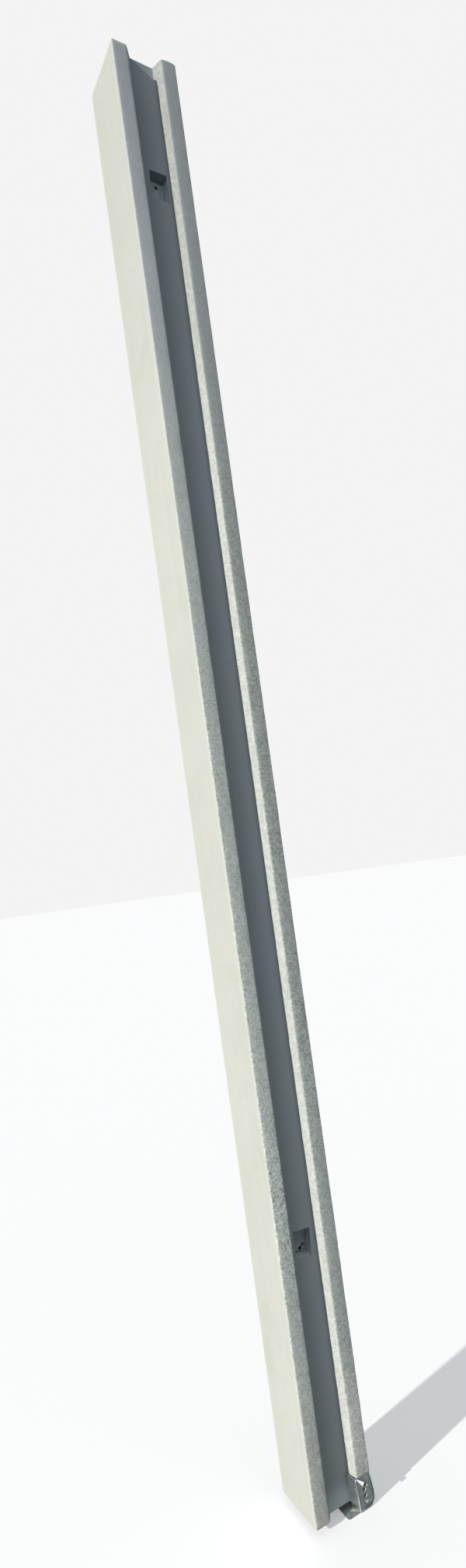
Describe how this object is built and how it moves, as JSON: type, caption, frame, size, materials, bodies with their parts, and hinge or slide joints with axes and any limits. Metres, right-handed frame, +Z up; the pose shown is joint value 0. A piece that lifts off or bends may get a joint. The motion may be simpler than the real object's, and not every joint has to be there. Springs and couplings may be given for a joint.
{
  "type": "slotted concrete fence post",
  "caption": "Tall H-section concrete fence post with flared panel grooves, cast pockets with fixing holes and a folded steel foot clip.",
  "frame": {"origin": "middle of the post's end face at the foot; the clip reaches 12 mm below it", "axes": "+Z up along the post, -Y out of the front groove with the pockets, +X towards the flange that holds the clip"},
  "size_m": [0.1147, 0.1101, 2.3724],
  "materials": {
    "concrete": "cast concrete, struck smooth on the sides, gritty and worn on the flange faces",
    "galvanised_steel": "dull dark galvanised sheet"
  },
  "bodies": {
    "root": {"post_body": "concrete", "foot_clip": "galvanised_steel"}
  },
  "joints": []
}
